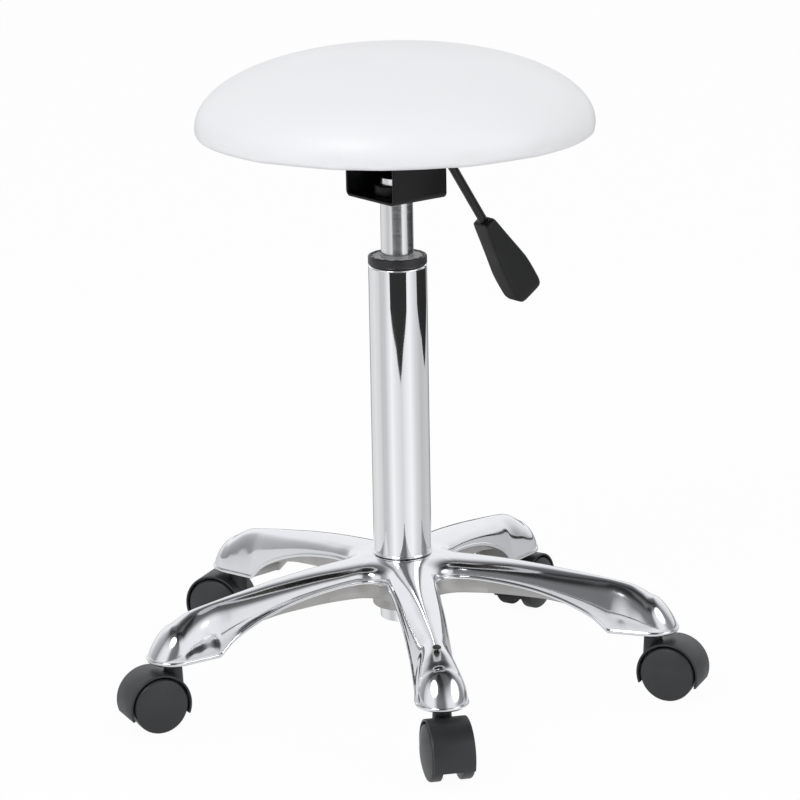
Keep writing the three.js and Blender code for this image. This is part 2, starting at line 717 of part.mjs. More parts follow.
function acrossAxle(geometry) {
  const placed = geometry.clone();
  placed.rotateX(Math.PI / 2);
  placed.translate(trail, 0, axleHeight);
  return placed;
}

const hoodInner = wheelRadius + hoodClearance;
const housingTop = toeHeight - gap;
const stemBottom = housingTop - stemSeatDepth;
let housing = solid(sector(hoodInner, hoodOuter, hoodHalfAngle, -hoodHalfLength, hoodHalfLength, 11));
housing = housing.add(solid(sector(8, hoodOuter - 0.4, 80, -webHalfThickness, webHalfThickness, 8)));
housing = housing.add(solid(acrossAxle(post(webRadius, -webHalfThickness, webHalfThickness, 14))));
housing = housing.add(solid(post(neckRadius, axleHeight + 10, housingTop, 12)));
housing = housing.subtract(solid(acrossAxle(post(boreRadius(axleRadius, gap, 12), -20, 20, 12))));
housing = housing.subtract(solid(post(boreRadius(stemRadius, gap, 12), stemBottom, housingTop + 5, 12)));
const housingShape = shape(housing);

const wheelBore = boreRadius(axleRadius, runningGap, 12);
const wheelProfile = [
  [wheelBore, treadInner], [wheelRadius, treadInner],
  [wheelRadius, treadOuter - 1.4], [wheelRadius - 1.6, treadOuter + 0.6],
  [wheelRadius * 0.55, wheelDome - 1], [0, wheelDome], [0, axleHalfLength + gap],
  [wheelBore, axleHalfLength + gap],
];

// One wheel on the side given by sign, with a flat facet of its tread on the floor.
function wheel(sign) {
  const points = [...wheelProfile];
  const lathe = new THREE.LatheGeometry(
    [...points, points[0]].map(([r, y]) => new THREE.Vector2(r, sign * y)), wheelFacets, Math.PI / wheelFacets);
  lathe.translate(trail, 0, axleHeight);
  return closed(lathe);
}

const stemShape = turned([
  [0, stemBottom + gap], [stemRadius, stemBottom + gap], [stemRadius, stemTop - 1],
  [stemRadius - 1, stemTop], [0, stemTop],
], 12);
const sleeveShape = turned([
  [boreRadius(stemRadius, runningGap, 12), toeHeight + 0.2], [sleeveRadius, toeHeight + 0.2],
  [sleeveRadius, stemTop + 1], [boreRadius(stemRadius, runningGap, 12), stemTop + 1],
], 12);
const axleShape = closed(acrossAxle(post(axleRadius, -axleHalfLength, axleHalfLength, 12)));

for (let k = 0; k < armCount; k += 1) {
  const armAngle = (firstArmAngle + 360 * k / armCount) * degrees;
  const turnAngle = trailAngles[k] * degrees;
  const place = (geometry) => {
    const placed = geometry.clone();
    placed.rotateZ(turnAngle);
    placed.translate(stemCircleRadius * Math.cos(armAngle), stemCircleRadius * Math.sin(armAngle), 0);
    return placed;
  };
  const n = k + 1;
  add(`grip_sleeve_${n}`, place(sleeveShape), blackPlastic);
  add(`caster_stem_${n}`, place(stemShape), satinSteel);
  add(`caster_housing_${n}`, place(housingShape), blackPlastic);
  add(`caster_axle_${n}`, place(axleShape), satinSteel);
  add(`wheel_left_${n}`, place(wheel(1)), blackPlastic);
  add(`wheel_right_${n}`, place(wheel(-1)), blackPlastic);
}

export default stool;
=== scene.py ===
import math

import bmesh
import bpy
import numpy as np
from mathutils import Matrix, Vector


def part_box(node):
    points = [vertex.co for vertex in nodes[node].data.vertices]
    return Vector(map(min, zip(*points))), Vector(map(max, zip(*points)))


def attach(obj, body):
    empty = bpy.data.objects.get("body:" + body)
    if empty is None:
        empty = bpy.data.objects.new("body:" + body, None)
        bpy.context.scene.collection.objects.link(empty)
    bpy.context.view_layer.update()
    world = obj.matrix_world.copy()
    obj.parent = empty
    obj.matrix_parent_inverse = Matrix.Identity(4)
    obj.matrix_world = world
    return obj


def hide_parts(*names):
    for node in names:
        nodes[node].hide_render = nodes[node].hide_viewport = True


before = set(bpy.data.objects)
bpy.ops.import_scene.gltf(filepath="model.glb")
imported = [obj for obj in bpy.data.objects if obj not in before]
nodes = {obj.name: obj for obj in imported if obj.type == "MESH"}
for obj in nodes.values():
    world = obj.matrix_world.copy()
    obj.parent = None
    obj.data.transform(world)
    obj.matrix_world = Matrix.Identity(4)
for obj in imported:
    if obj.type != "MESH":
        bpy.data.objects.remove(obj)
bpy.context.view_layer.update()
scene = bpy.context.scene
mm = 0.001
meshing = dict(weld=3e-6, cadWeld=2e-6, sliver=1e-6)
easing = dict(segments=3, angle=32)

tubeLow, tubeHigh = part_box("column_tube")
starLow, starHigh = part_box("base_star")
axisY = (tubeLow.y + tubeHigh.y) / 2
toeZ = starLow.z / mm
hubZ = starHigh.z / mm

# camera: aimed by its own three directions, so the slight lean stays exact
view = dict(azimuth=-7.82, distance=2.9407, height=1.0576, pitch=15.25, lean=-1.02, focal=3554.0)


def makeCamera(v):
    turn, down, lean = (math.radians(v[k]) for k in ("azimuth", "pitch", "lean"))
    across = Vector((math.cos(turn), math.sin(turn), 0))
    level = Vector((-math.sin(turn), math.cos(turn), 0))
    forward = level * math.cos(down) - Vector((0, 0, 1)) * math.sin(down)
    upward = level * math.sin(down) + Vector((0, 0, 1)) * math.cos(down)
    right = across * math.cos(lean) + upward * math.sin(lean)
    top = upward * math.cos(lean) - across * math.sin(lean)
    place = Vector((0, axisY, v["height"])) - level * v["distance"]
    data = bpy.data.cameras.new("stoolCamera")
    data.sensor_width = 36
    data.lens = v["focal"] / 800 * 36
    data.clip_end = 50
    camera = bpy.data.objects.new("stoolCamera", data)
    scene.collection.objects.link(camera)
    camera.matrix_world = Matrix((
        (right.x, top.x, -forward.x, place.x),
        (right.y, top.y, -forward.y, place.y),
        (right.z, top.z, -forward.z, place.z),
        (0, 0, 0, 1)))
    scene.camera = camera


makeCamera(view)
print("camera set")


# mesh making: every part is a grid of points in millimetres about the column axis

# quads between neighbouring points of a grid; columns always wrap round, rows do if asked,
# and flat caps close the first and last rows if asked
def gridPart(points, wrapRows=False, caps=False):
    rows, columns = points.shape[:2]
    grid = np.arange(rows * columns).reshape(rows, columns)
    here = grid if wrapRows else grid[:-1]
    following = np.roll(grid, -1, axis=0) if wrapRows else grid[1:]
    hereNext, followingNext = np.roll(here, -1, axis=1), np.roll(following, -1, axis=1)
    faces = np.stack([here, hereNext, followingNext, following], -1).reshape(-1, 4).tolist()
    if caps:
        faces += [grid[0][::-1].tolist(), grid[-1].tolist()]
    return points.reshape(-1, 3), faces


# a profile of (radius, height) carried round Z: x = r cos a, y = r sin a
def turnedPart(profile, sides=96):
    profile = np.asarray(profile, float)
    angle = np.linspace(0, 2 * np.pi, sides, endpoint=False)
    points = np.empty((len(profile), sides, 3))
    points[..., 0] = profile[:, :1] * np.cos(angle)
    points[..., 1] = profile[:, :1] * np.sin(angle)
    points[..., 2] = profile[:, 1:]
    closedLoop = bool(profile[0, 0] > 0 and profile[-1, 0] > 0)
    return gridPart(points, wrapRows=closedLoop)


# corners of a (radius, height) outline rounded off by short arcs, as quadratic curves
def rounded(profile, size, steps=4, loop=True):
    profile = np.asarray(profile, float)
    before = np.roll(profile, 1, axis=0)
    after = np.roll(profile, -1, axis=0)
    inLength = np.linalg.norm(profile - before, axis=1)[:, None]
    outLength = np.linalg.norm(after - profile, axis=1)[:, None]
    cut = np.minimum(size, 0.45 * np.minimum(inLength, outLength))
    start = profile + (before - profile) / np.maximum(inLength, 1e-9) * cut
    end = profile + (after - profile) / np.maximum(outLength, 1e-9) * cut
    t = np.linspace(0, 1, steps)[None, :, None]
    arcs = (1 - t) ** 2 * start[:, None] + 2 * t * (1 - t) * profile[:, None] + t ** 2 * end[:, None]
    if not loop:
        arcs[0] = profile[0]
        arcs[-1] = profile[-1]
    return arcs.reshape(-1, 2)


# smooth reading of a table of (place, value), with slopes limited so nothing overshoots
def smooth(table, place):
    table = np.asarray(table, float)
    x, y = table[:, 0], table[:, 1]
    step = np.diff(y) / np.diff(x)
    slope = np.zeros(len(x))
    same = step[:-1] * step[1:] > 0
    slope[1:-1][same] = 2 * step[:-1][same] * step[1:][same] / (step[:-1][same] + step[1:][same])
    p = np.clip(place, x[0], x[-1])
    i = np.clip(np.searchsorted(x, p) - 1, 0, len(x) - 2)
    h = x[i + 1] - x[i]
    t = (p - x[i]) / h
    return ((1 + 2 * t) * (1 - t) ** 2 * y[i] + t * (1 - t) ** 2 * h * slope[i]
            + t ** 2 * (3 - 2 * t) * y[i + 1] + t ** 2 * (t - 1) * h * slope[i + 1])


# one mesh object from parts in millimetres; spin turns it about Z and move shifts it
def makePiece(name, parts, body, replaced=(), spin=0.0, move=(0, 0, 0), sharp=35, materials=()):
    points, faces, tints = [], [], []
    count = 0
    for part in parts:
        places, quads = part[0], part[1]
        points.append(places)
        faces += [[i + count for i in face] for face in quads]
        tints += list(part[2]) if len(part) > 2 else [0] * len(quads)
        count += len(places)
    points = np.concatenate(points)
    turn = math.radians(spin)
    turned = points.copy()
    turned[:, 0] = points[:, 0] * math.cos(turn) - points[:, 1] * math.sin(turn)
    turned[:, 1] = points[:, 0] * math.sin(turn) + points[:, 1] * math.cos(turn)
    turned = (turned + np.asarray(move)) * mm
    turned[:, 1] += axisY
    mesh = bpy.data.meshes.new(name)
    mesh.from_pydata(turned.tolist(), [], faces)
    mesh.polygons.foreach_set("material_index", tints)
    working = bmesh.new()
    working.from_mesh(mesh)
    bmesh.ops.remove_doubles(working, verts=working.verts, dist=meshing["weld"])
    bmesh.ops.dissolve_degenerate(working, edges=working.edges, dist=meshing["sliver"])
    bmesh.ops.recalc_face_normals(working, faces=working.faces)
    working.to_mesh(mesh)
    working.free()
    mesh.polygons.foreach_set("use_smooth", [True] * len(mesh.polygons))
    mesh.set_sharp_from_angle(angle=math.radians(sharp))
    piece = bpy.data.objects.new(name, mesh)
    scene.collection.objects.link(piece)
    for material in materials:
        mesh.materials.append(material)
    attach(piece, body)
    if replaced:
        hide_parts(*replaced)
    return piece


# a merged copy of a CAD piece with its edges rounded
def eased(name, node, body, width, material):
    mesh = nodes[node].data.copy()
    mesh.name = name
    mesh.materials.clear()
    mesh.materials.append(material)
    working = bmesh.new()
    working.from_mesh(mesh)
    bmesh.ops.remove_doubles(working, verts=working.verts, dist=meshing["cadWeld"])
    bmesh.ops.dissolve_limit(working, angle_limit=math.radians(1), verts=working.verts, edges=working.edges)
    working.to_mesh(mesh)
    working.free()
    mesh.polygons.foreach_set("use_smooth", [True] * len(mesh.polygons))
    piece = bpy.data.objects.new(name, mesh)
    scene.collection.objects.link(piece)
    bevel = piece.modifiers.new("easedEdges", "BEVEL")
    bevel.width = width * mm
    bevel.segments = easing["segments"]
    bevel.limit_method = "ANGLE"
    bevel.angle_limit = math.radians(easing["angle"])
    bevel.harden_normals = True
    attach(piece, body)
    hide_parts(node)
    return piece


# shader groups shared by the materials

def newGroup(name, inputs, outputs):
    group = bpy.data.node_groups.new(name, "ShaderNodeTree")
    for label, kind, value in inputs:
        socket = group.interface.new_socket(name=label, in_out="INPUT", socket_type=kind)
        socket.default_value = value
    for label, kind in outputs:
        group.interface.new_socket(name=label, in_out="OUTPUT", socket_type=kind)
    return group, group.nodes.new("NodeGroupInput"), group.nodes.new("NodeGroupOutput")


# cloudy value between Low and High, from noise stretched along the piece
def makeUneven():
    group, given, result = newGroup("unevenFinish", [
        ("Scale", "NodeSocketFloat", 40.0), ("Stretch", "NodeSocketVector", (1, 1, 1)),
        ("Low", "NodeSocketFloat", 0.2), ("High", "NodeSocketFloat", 0.3)],
        [("Value", "NodeSocketFloat")])
    tree = group.nodes
    place = tree.new("ShaderNodeTexCoord")
    pull = tree.new("ShaderNodeVectorMath")
    pull.operation = "MULTIPLY"
    noise = tree.new("ShaderNodeTexNoise")
    noise.inputs["Detail"].default_value = 5
    spread = tree.new("ShaderNodeMapRange")
    spread.inputs["From Min"].default_value = 0.32
    spread.inputs["From Max"].default_value = 0.68
    link = group.links.new
    link(place.outputs["Object"], pull.inputs[0])
    link(given.outputs["Stretch"], pull.inputs[1])
    link(pull.outputs[0], noise.inputs["Vector"])
    link(given.outputs["Scale"], noise.inputs["Scale"])
    link(noise.outputs["Fac"], spread.inputs["Value"])
    link(given.outputs["Low"], spread.inputs["To Min"])
    link(given.outputs["High"], spread.inputs["To Max"])
    link(spread.outputs["Result"], result.inputs["Value"])
    return group


# two colours mixed in soft patches
def makeTint():
    group, given, result = newGroup("patchyTint", [
        ("Colour", "NodeSocketColor", (0.5, 0.5, 0.5, 1)), ("Patches", "NodeSocketColor", (0.4, 0.4, 0.4, 1)),
        ("Scale", "NodeSocketFloat", 20.0), ("Amount", "NodeSocketFloat", 0.5)],
        [("Colour", "NodeSocketColor")])
    tree = group.nodes
    place = tree.new("ShaderNodeTexCoord")
    noise = tree.new("ShaderNodeTexNoise")
    noise.inputs["Detail"].default_value = 4
    share = tree.new("ShaderNodeMath")
    share.operation = "MULTIPLY"
    mix = tree.new("ShaderNodeMix")
    mix.data_type = "RGBA"
    link = group.links.new
    link(place.outputs["Object"], noise.inputs["Vector"])
    link(given.outputs["Scale"], noise.inputs["Scale"])
    link(noise.outputs["Fac"], share.inputs[0])
    link(given.outputs["Amount"], share.inputs[1])
    link(share.outputs[0], mix.inputs["Factor"])
    link(given.outputs["Colour"], mix.inputs["A"])
    link(given.outputs["Patches"], mix.inputs["B"])
    link(mix.outputs["Result"], result.inputs["Colour"])
    return group


# pebbled height: cell walls softened by noise, for moulded grain and leathercloth
def makeGrain():
    group, given, result = newGroup("pebbleGrain", [
        ("Cells", "NodeSocketFloat", 900.0), ("Noise", "NodeSocketFloat", 300.0),
        ("Blend", "NodeSocketFloat", 0.5)], [("Height", "NodeSocketFloat")])
    tree = group.nodes
    place = tree.new("ShaderNodeTexCoord")
    cells = tree.new("ShaderNodeTexVoronoi")
    noise = tree.new("ShaderNodeTexNoise")
    noise.inputs["Detail"].default_value = 3
    mix = tree.new("ShaderNodeMix")
    link = group.links.new
    link(place.outputs["Object"], cells.inputs["Vector"])
    link(place.outputs["Object"], noise.inputs["Vector"])
    link(given.outputs["Cells"], cells.inputs["Scale"])
    link(given.outputs["Noise"], noise.inputs["Scale"])
    link(given.outputs["Blend"], mix.inputs["Factor"])
    link(cells.outputs["Distance"], mix.inputs["A"])
    link(noise.outputs["Fac"], mix.inputs["B"])
    link(mix.outputs["Result"], result.inputs["Height"])
    return group


unevenFinish, patchyTint, pebbleGrain = makeUneven(), makeTint(), makeGrain()


# a Principled material fed by the shared groups; metallic, sheen and the like are plain values
def finish(name, colour, patches, rough, metallic=0.0, tintScale=25, tintAmount=0.6, roughScale=45,
           stretch=(1, 1, 1), cells=None, noise=300, blend=0.5, bump=0.0, depth=0.1, level=0.5):
    material = bpy.data.materials.new(name)
    material.use_nodes = True
    tree = material.node_tree
    shader = tree.nodes["Principled BSDF"]
    shader.inputs["Metallic"].default_value = metallic
    shader.inputs["Specular IOR Level"].default_value = level
    tint = tree.nodes.new("ShaderNodeGroup")
    tint.node_tree = patchyTint
    tint.inputs["Colour"].default_value = (*colour, 1)
    tint.inputs["Patches"].default_value = (*patches, 1)
    tint.inputs["Scale"].default_value = tintScale
    tint.inputs["Amount"].default_value = tintAmount
    tree.links.new(tint.outputs["Colour"], shader.inputs["Base Color"])
    uneven = tree.nodes.new("ShaderNodeGroup")
    uneven.node_tree = unevenFinish
    uneven.inputs["Scale"].default_value = roughScale
    uneven.inputs["Stretch"].default_value = stretch
    uneven.inputs["Low"].default_value = rough[0]
    uneven.inputs["High"].default_value = rough[1]
    tree.links.new(uneven.outputs["Value"], shader.inputs["Roughness"])
    if bump:
        grain = tree.nodes.new("ShaderNodeGroup")
        grain.node_tree = pebbleGrain
        grain.inputs["Cells"].default_value = cells or 900
        grain.inputs["Noise"].default_value = noise
        grain.inputs["Blend"].default_value = blend
        relief = tree.nodes.new("ShaderNodeBump")
        relief.inputs["Strength"].default_value = bump
        relief.inputs["Distance"].default_value = depth * mm
        tree.links.new(grain.outputs["Height"], relief.inputs["Height"])
        tree.links.new(relief.outputs["Normal"], shader.inputs["Normal"])
    return material


polished = finish("polishedCasting", (0.83, 0.84, 0.86), (0.72, 0.73, 0.76), (0.06, 0.14), 1.0,
                  tintScale=18, bump=0.12, cells=60, noise=35, blend=0.8, depth=0.3)
castSkin = finish("castSkin", (0.57, 0.565, 0.555), (0.40, 0.395, 0.385), (0.36, 0.52), 0.85,
                  tintScale=30, tintAmount=0.9, bump=0.5, cells=500, noise=220, blend=0.6, depth=0.25)
chrome = finish("mirrorChrome", (0.90, 0.91, 0.92), (0.84, 0.85, 0.87), (0.02, 0.05), 1.0,
                tintScale=8, roughScale=12, bump=0.03, cells=30, noise=14, blend=0.9, depth=0.2)
satinChrome = finish("groundCylinder", (0.88, 0.885, 0.895), (0.78, 0.785, 0.79), (0.16, 0.24), 1.0,
                     tintScale=30, roughScale=30, stretch=(1, 1, 30), bump=0.02, noise=60, blend=0.95, depth=0.05)
zincSteel = finish("zincSteel", (0.62, 0.62, 0.63), (0.50, 0.50, 0.49), (0.25, 0.42), 1.0,
                   tintScale=60, bump=0.1, noise=500, depth=0.05)
blackPlastic = finish("mouldedBlack", (0.018, 0.018, 0.020), (0.030, 0.030, 0.033), (0.34, 0.46),
                      bump=0.15, cells=1400, noise=700, depth=0.06)
casterBlack = finish("casterNylon", (0.020, 0.0215, 0.024), (0.031, 0.033, 0.036), (0.34, 0.46),
                     tintScale=35, bump=0.2, cells=1300, noise=600, depth=0.07)
wheelBlack = finish("wheelNylon", (0.024, 0.025, 0.027), (0.038, 0.039, 0.042), (0.34, 0.46),
                    tintScale=40, bump=0.18, cells=1500, noise=800, depth=0.06)
gripBlack = finish("paddleGrain", (0.0105, 0.0108, 0.0115), (0.018, 0.0185, 0.0195), (0.40, 0.54), level=0.32,
                   tintScale=60, bump=0.45, cells=1500, noise=900, blend=0.35, depth=0.12)
satinPaint = finish("satinPaint", (0.006, 0.006, 0.0065), (0.011, 0.011, 0.0115), (0.30, 0.42),
                    level=0.28, tintScale=40, bump=0.15, cells=800, noise=350, depth=0.06)
glossPaint = finish("glossPaint", (0.005, 0.005, 0.006), (0.010, 0.010, 0.011), (0.16, 0.26),
                    tintScale=50, level=0.4, bump=0.05, noise=250, depth=0.05)
paleAcetal = finish("paleAcetal", (0.55, 0.555, 0.56), (0.45, 0.455, 0.46), (0.35, 0.5),
                    bump=0.08, noise=400, depth=0.05)
rubber = finish("bumperRubber", (0.018, 0.018, 0.018), (0.032, 0.032, 0.031), (0.7, 0.9),
                bump=0.2, noise=300, depth=0.1)
# seat board plywood: its colour is painted dark as shade, so the shaded underside of the seat reflects dark in the
# polished arms; the patches are the wood's own grain
plywood = finish("plyPaintedShade", (0.055, 0.045, 0.036), (0.11, 0.09, 0.07), (0.6, 0.8), tintScale=14,
                 tintAmount=0.9, bump=0.3, cells=120, noise=90, depth=0.2)
foamFill = finish("foamFill", (0.78, 0.70, 0.48), (0.66, 0.57, 0.36), (0.85, 0.98), bump=0.6,
                  cells=900, noise=500, depth=0.4)
whiteVinyl = finish("whiteVinyl", (0.865, 0.868, 0.89), (0.83, 0.835, 0.86), (0.38, 0.47),
                    tintScale=7, tintAmount=0.5, roughScale=16, bump=0.10, cells=1100, noise=420,
                    blend=0.45, depth=0.05)
print("materials made")

# polished star casting with five arms
star = dict(arms=5, firstArm=-90.0, stem=218.0, toe=21.0, hub=22.0, crotch=18.7, meet=66.7,
            recess=4.6, wall=3.6)
crownTable = [(20, 62), (28, 61.2), (50, 60.2), (85, 58.2), (120, 54.2), (145, 50.2), (169, 46.2),
              (185, 43.2), (200, 39.6), (210, 34.5), (218, 30)]
edgeTable = [(30, 49), (60, 48.6), (85, 45.5), (110, 40.5), (135, 32.5), (155, 23.5), (168, 15.5),
             (175, 9.0), (182, 3.4), (240, 3.4)]
widthTable = [(30, 20.5), (54, 20.5), (85, 19.0), (120, 17.8), (150, 17.0), (180, 16.5), (200, 18.8),
              (218, 21)]
webTable = [(30, 30), (65, 31.5), (120, 28), (150, 22), (169, 14.5), (178, 6), (184, 0), (240, 0)]


# Each outline point p has a partner q on the arm's middle line or the hub bore. The surface runs
# from q out to p on a rounded crown, over a bead, in under it and down the web wall, and back to q.
def starParts(s):
    toeTurn = np.linspace(0, np.pi / 2, 20)
    tip = np.stack([s["stem"] + s["toe"] * np.cos(toeTurn), s["toe"] * np.sin(toeTurn)], 1)
    tipNormal = np.stack([np.cos(toeTurn), np.sin(toeTurn)], 1)
    tipPartner = np.tile([s["stem"], 0.0], (len(tip), 1))
    half = np.pi / s["arms"]
    centre = s["meet"] * np.array([np.cos(half), np.sin(half)])
    along = np.linspace(s["stem"], centre[0], 76)[1:]
    wide = smooth(widthTable, along)
    slope = (smooth(widthTable, along + 0.5) - smooth(widthTable, along - 0.5))
    side = np.stack([along, wide], 1)
    sideNormal = np.stack([-slope, np.ones_like(slope)], 1)
    sideNormal /= np.linalg.norm(sideNormal, axis=1)[:, None]
    pull = np.clip((90 - along) / (90 - centre[0]), 0, 1)
    partner = along - (along - s["hub"]) * pull ** 1.3
    sidePartner = np.stack([partner, np.zeros_like(partner)], 1)
    sweep = np.linspace(-np.pi / 2, -np.pi + half, 14)[1:]
    corner = centre + s["crotch"] * np.stack([np.cos(sweep), np.sin(sweep)], 1)
    cornerNormal = (centre - corner) / s["crotch"]
    hubTurn = np.linspace(0, half, 14)[1:]
    cornerPartner = s["hub"] * np.stack([np.cos(hubTurn), np.sin(hubTurn)], 1)
    p = np.concatenate([tip, side, corner])
    q = np.concatenate([tipPartner, sidePartner, cornerPartner])
    n = np.concatenate([tipNormal, sideNormal, cornerNormal])
    onBore = np.concatenate([np.zeros(len(tip) + len(side), bool), np.ones(len(corner), bool)])
    tipShare = np.concatenate([np.cos(toeTurn), np.zeros(len(side) + len(corner))])
    flip = np.array([1, -1])
    p = np.concatenate([(p * flip)[::-1][:-1], p[:-1]])
    q = np.concatenate([(q * flip)[::-1][:-1], q[:-1]])
    n = np.concatenate([(n * flip)[::-1][:-1], n[:-1]])
    onBore = np.concatenate([onBore[::-1][:-1], onBore[:-1]])
    tipShare = np.concatenate([tipShare[::-1][:-1], tipShare[:-1]])
    reach = np.linalg.norm(p, axis=1)
    reach = np.where(np.abs(p[:, 0]) > 60, p[:, 0], np.maximum(reach, 30))
    edge = smooth(edgeTable, reach)
    web = smooth(webTable, reach)
    crown = smooth(crownTable, np.linalg.norm(q, axis=1))
    inFoot = np.clip((reach - 166) / 16, 0, 1)
    inFoot = inFoot * inFoot * (3 - 2 * inFoot)
    recess = s["recess"] * (1 - inFoot) + 0.6 * inFoot
    roofline = np.where(reach < 176, np.maximum(crown - 8, web + 0.5), web)
    rows = []
    for u in np.linspace(0, 1, 17):
        t = math.sin(u * math.pi / 2)
        first = 2.0 - 0.6 * tipShare
        second = 0.44 + 0.36 * tipShare
        rise = np.maximum(1 - t ** first, 0) ** second
        rows.append(np.column_stack([q + (p - q) * t, edge + (crown - edge) * rise]))
    outward = [(0.55, 0.1), (1.05, -0.35), (1.3, -1.1), (1.3, -2.0), (0.95, -2.9), (0.3, -3.35)]
    for out, dz in outward:
        rows.append(np.column_stack([p + n * out, edge + dz]))
    under = np.maximum(edge - 3.4, web)
    for share, extra in ((0.0, 0.0), (0.04, 0.0), (0.5, 0.1), (0.94, 0.2), (1.0, 1.1)):
        rows.append(np.column_stack([p - n * (recess + extra)[:, None], under + (web - under) * share]))
    wallIn = (recess + s["wall"])[:, None]
    rows.append(np.column_stack([p - n * wallIn, web]))
    rows.append(np.column_stack([p - n * (wallIn + 0.4), roofline]))
    rows.append(np.column_stack([q + (p - q) * 0.3, roofline]))
    rows.append(np.column_stack([q, roofline]))
    oneArm = np.stack(rows)
    polishedRows = 17 + len(outward)
    angles = np.radians(s["firstArm"] + 360 / s["arms"] * np.arange(s["arms"]))
    turns = np.stack([np.stack([np.cos(angles), -np.sin(angles)], -1),
                      np.stack([np.sin(angles), np.cos(angles)], -1)], 1)
    flat = np.einsum("kij,rcj->rkci", turns, oneArm[..., :2])
    tall = np.broadcast_to(oneArm[:, None, :, 2], flat.shape[:3])
    points = np.concatenate([flat, tall[..., None]], -1).reshape(len(rows), -1, 3)
    points[..., 2] += toeZ
    places, faces = gridPart(points)
    columns = points.shape[1]
    tints = [0 if i // columns < polishedRows - 1 else 1 for i in range(len(faces))]
    flags = np.tile(onBore, s["arms"])
    last = (len(rows) - 1) * columns
    joined = np.flatnonzero(flags | np.roll(flags, -1))
    faces += [[last + i, last + (i + 1) % columns, (i + 1) % columns, i] for i in joined.tolist()]
    tints += [1] * len(joined)
    return places, faces, tints


bossProfile = rounded([(22.0, -8.3), (42, -9.0), (34, -15), (28.4, -20), (26.5, -26), (26.5, -46),
                       (22.0, -46)], 1.2)
bossProfile[:, 1] += hubZ
bossPlaces, bossFaces = turnedPart(bossProfile)
makePiece("starCasting", [starParts(star)], "base", ["base_star"], sharp=50,
          materials=[polished, castSkin])
makePiece("hubBoss", [(bossPlaces, bossFaces)], "base", materials=[castSkin])
eased("armPlug", "arm_plug", "base", 0.6, blackPlastic)
print("star casting made")

# column, collar and gas cylinder
column = dict(radius=25.0, lip=0.7, neckTop=21.4, neckBottom=20.0, bore=22.0)
tubeZ = tubeHigh.z / mm
tubeFoot = tubeLow.z / mm
tubeOutline = rounded([
    (5.6, tubeFoot), (column["neckBottom"], tubeFoot), (column["neckTop"], hubZ + 0.3),
    (column["radius"] + column["lip"], hubZ + 0.3), (column["radius"] + column["lip"], hubZ + 1.5),
    (column["radius"], hubZ + 2.3), (column["radius"], hubZ + 4), (column["radius"], hubZ + 8),
    (column["radius"], tubeZ - 7), (column["radius"], tubeZ - 3.5), (column["radius"], tubeZ - 1.5),
    (column["radius"] - 1.5, tubeZ),
    (column["bore"], tubeZ), (column["bore"], hubZ + 6.3), (18.4, hubZ + 0.3),
    (17.0, tubeFoot + 4), (5.6, tubeFoot + 4)], 0.7)
makePiece("chromeColumn", [turnedPart(tubeOutline, 128)], "base", ["column_tube"],
          materials=[chrome])

ringLow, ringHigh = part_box("collar_ring")
collar = dict(outer=25.15, inner=18.7, shelf=23.0, teeth=16, reach=1.7, width=0.42, drop=1.0)


# a turned ring with a thin raised rim; inside the rim the wall steps inward at each tooth:
# r = shelf - reach where the angle falls in a tooth
def collarPart(c):
    bottom, top = ringLow.z / mm, ringHigh.z / mm
    shelf = top - c["drop"]
    heights = [bottom, bottom + 0.5, bottom + 1.0, bottom + 3, top - 1.3, top - 0.7, top - 0.2, top, top, top - 0.3,
               shelf - 0.4, shelf - 0.6, bottom]
    radii = [c["outer"] - 0.8, c["outer"] - 0.15, c["outer"], c["outer"], c["outer"],
             c["outer"] - 0.2, c["outer"] - 0.6, c["outer"] - 1.1, c["shelf"] + 0.3, c["shelf"], c["shelf"], c["inner"], c["inner"]]
    angle = np.linspace(0, 2 * np.pi, c["teeth"] * 20, endpoint=False)
    phase = np.abs((angle * c["teeth"] / (2 * np.pi)) % 1 - 0.5) * 2
    inTooth = (phase < c["width"]).astype(float)
    heights, radii = np.array(heights), np.array(radii)
    band = (np.arange(len(radii)) >= 8) & (radii > c["inner"] + 1)
    r = radii[:, None] - c["reach"] * band[:, None] * inTooth[None]
    points = np.stack([r * np.cos(angle), r * np.sin(angle), np.broadcast_to(heights[:, None], r.shape)], -1)
    return gridPart(points, wrapRows=True)


makePiece("collarRing", [collarPart(collar)], "base", ["collar_ring"],
          materials=[blackPlastic])
ringTopZ = ringHigh.z / mm
bushingLow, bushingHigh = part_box("guide_bushing")
bushingOutline = rounded([
    (14.3, bushingLow.z / mm), (21.4, bushingLow.z / mm), (21.4, tubeZ), (18.4, tubeZ + 0.3),
    (18.4, ringTopZ - 1.5), (22.9, ringTopZ - 1.5), (22.9, ringTopZ - 0.7), (14.3, ringTopZ - 0.7)], 0.35)
makePiece("guideBushing", [turnedPart(bushingOutline)], "base", ["guide_bushing"],
          materials=[paleAcetal])
gasLow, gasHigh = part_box("gas_cylinder")
gasOutline = rounded([
    (5.5, gasLow.z / mm), (13.95, gasLow.z / mm), (13.95, gasLow.z / mm + 4),
    (13.95, gasHigh.z / mm - 24), (13.95, gasHigh.z / mm - 18), (13.4, gasHigh.z / mm - 0.6),
    (12.6, gasHigh.z / mm), (3.5, gasHigh.z / mm), (3.5, gasHigh.z / mm - 27), (11.9, gasHigh.z / mm - 29),
    (11.9, gasLow.z / mm + 10), (5.5, gasLow.z / mm + 10)], 0.8)
makePiece("gasCylinder", [turnedPart(gasOutline, 96)], "seat", ["gas_cylinder"],
          materials=[satinChrome])
print("column made")

# seat carrier and lever
carrierTurn = 30.15
eased("seatChannel", "seat_channel", "seat", 0.8, satinPaint)
eased("taperSocket", "taper_socket", "seat", 0.5, satinPaint)
eased("topPlate", "top_plate", "seat", 0.6, satinPaint)
for i in range(1, 5):
    eased("seatBolt%d" % i, "seat_bolt_%d" % i, "seat", 0.5, zincSteel)

